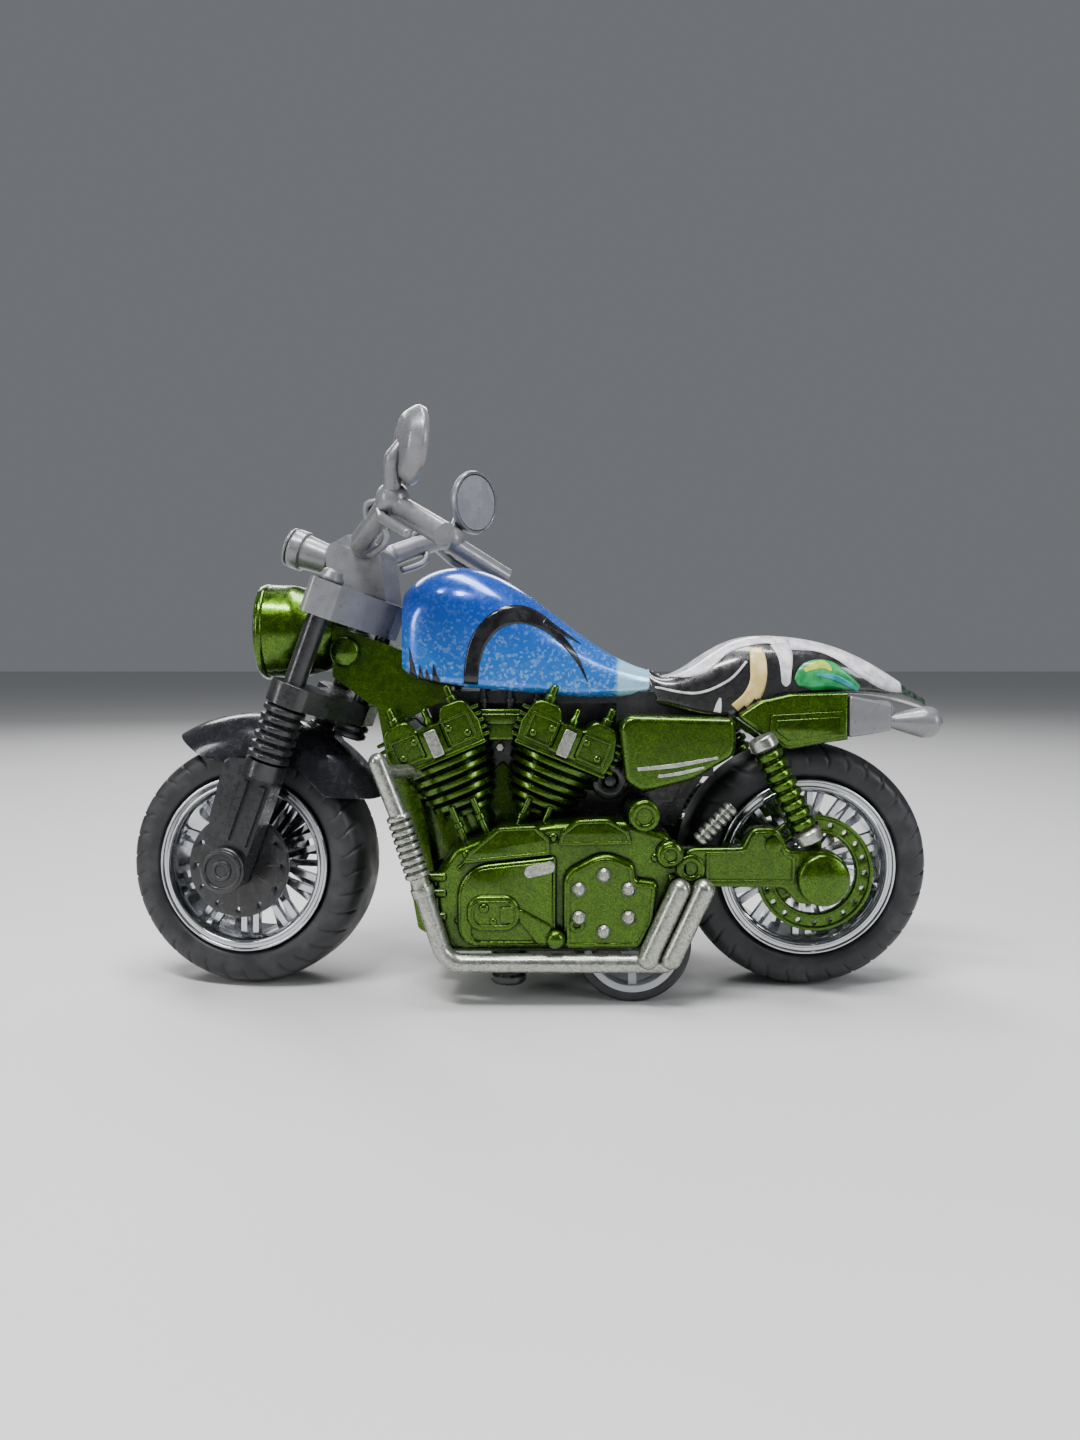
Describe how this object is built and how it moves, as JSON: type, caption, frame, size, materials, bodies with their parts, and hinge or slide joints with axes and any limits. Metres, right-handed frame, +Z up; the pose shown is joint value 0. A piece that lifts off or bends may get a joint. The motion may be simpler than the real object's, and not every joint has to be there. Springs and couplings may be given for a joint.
{
  "type": "pull-back toy motorcycle",
  "caption": "Small pull-back toy motorcycle with V-twin engine, turning fork and handlebar, rolling wheels and a spring motor with hidden driving wheels.",
  "frame": {"origin": "on the ground half way between the main axles, in the middle plane", "axes": "+X forward, +Y to the rider's left, +Z up"},
  "size_m": [0.121, 0.048, 0.0835],
  "materials": {
    "green_casting": "candy metallic gloss",
    "blue_tank": "metallic blue gloss with printed decor",
    "printed_seat": "black with printed decor",
    "black_plastic": "moulded gloss",
    "gunmetal_fender": "gunmetal gloss",
    "silver_plastic": "pearl silver",
    "silver_paint": "satin silver paint",
    "chrome_rim": "vacuum plated",
    "tyre_rubber": "moulded rubber",
    "steel": "turned steel",
    "lamp_lens": "clear ribbed",
    "mirror_face": "foil",
    "grey_nylon": "translucent nylon",
    "spring_steel": "blued strip",
    "ivory_gear": "acetal"
  },
  "bodies": {
    "chassis": {"neck_casting": "green_casting", "headlight_shell": "green_casting", "headlight_lens": "lamp_lens", "underframe": "black_plastic", "fuel_tank": "blue_tank", "rear_rails": "green_casting", "seat_tail": "printed_seat", "side_cover_left": "green_casting", "side_cover_right": "green_casting", "tail_lamps": "silver_plastic", "case_screws": "steel", "engine_case_left": "green_casting", "engine_case_right": "green_casting", "front_cylinder": "green_casting", "rear_cylinder": "green_casting", "front_head": "green_casting", "rear_head": "green_casting", "head_trim_bars": "silver_paint", "carburettor": "green_casting", "primary_covers": "green_casting", "clutch_covers": "green_casting", "cover_bolts": "silver_paint", "trim_plates": "silver_paint", "gear_levers": "green_casting", "exhaust_left": "silver_paint", "exhaust_right": "silver_paint", "underbody_pegs": "black_plastic", "rear_axle": "steel", "swingarms": "green_casting", "ring_discs": "green_casting", "shock_springs": "green_casting", "shock_caps": "silver_paint", "damper_springs": "silver_paint", "mainspring": "spring_steel", "motor_case_left": "black_plastic", "motor_case_right": "black_plastic"},
    "steering": {"front_axle": "black_plastic", "fork_tubes": "black_plastic", "fork_gaiters": "black_plastic", "fork_slider_left": "black_plastic", "fork_slider_right": "black_plastic", "front_fender": "gunmetal_fender", "handlebar": "silver_plastic", "mirror_shells": "silver_plastic", "mirror_glasses": "mirror_face", "speedometer": "silver_plastic", "steering_stem": "black_plastic", "lower_yoke": "black_plastic", "top_yoke": "silver_plastic"},
    "front_wheel": {"front_tyre": "tyre_rubber", "front_rim": "chrome_rim", "brake_disc": "black_plastic"},
    "rear_wheel": {"rear_tyre": "tyre_rubber", "rear_rim": "chrome_rim"},
    "drive_wheels": {"drive_axle": "steel", "drive_rims": "grey_nylon", "drive_tyres": "tyre_rubber"},
    "spring_gear": {"spring_gear": "ivory_gear"}
  },
  "joints": [
    {"name": "steering_turn", "type": "hinge", "parent": "chassis", "child": "steering", "pos_m": [0.02643, 0, 0.04082], "axis": [-0.342, 0, 0.9397], "range_deg": [-3, 21]},
    {"name": "front_wheel_spin", "type": "hinge", "parent": "steering", "child": "front_wheel", "pos_m": [0.04192, -0.0011, 0.01847], "axis": [0.147, 0.9877, 0.0535], "continuous": true},
    {"name": "rear_wheel_spin", "type": "hinge", "parent": "chassis", "child": "rear_wheel", "pos_m": [-0.042, 0, 0.0185], "axis": [0, 1, 0], "continuous": true},
    {"name": "drive_spin", "type": "hinge", "parent": "chassis", "child": "drive_wheels", "pos_m": [-0.0154, 0, 0.0085], "axis": [0, 1, 0], "continuous": true},
    {"name": "spring_gear_spin", "type": "hinge", "parent": "chassis", "child": "spring_gear", "pos_m": [-0.00765, 0, 0.01211], "axis": [0, 1, 0], "continuous": true}
  ],
  "couplings": [
    {"joint": "spring_gear_spin", "follows": "drive_spin", "ratio": -0.41667}
  ]
}
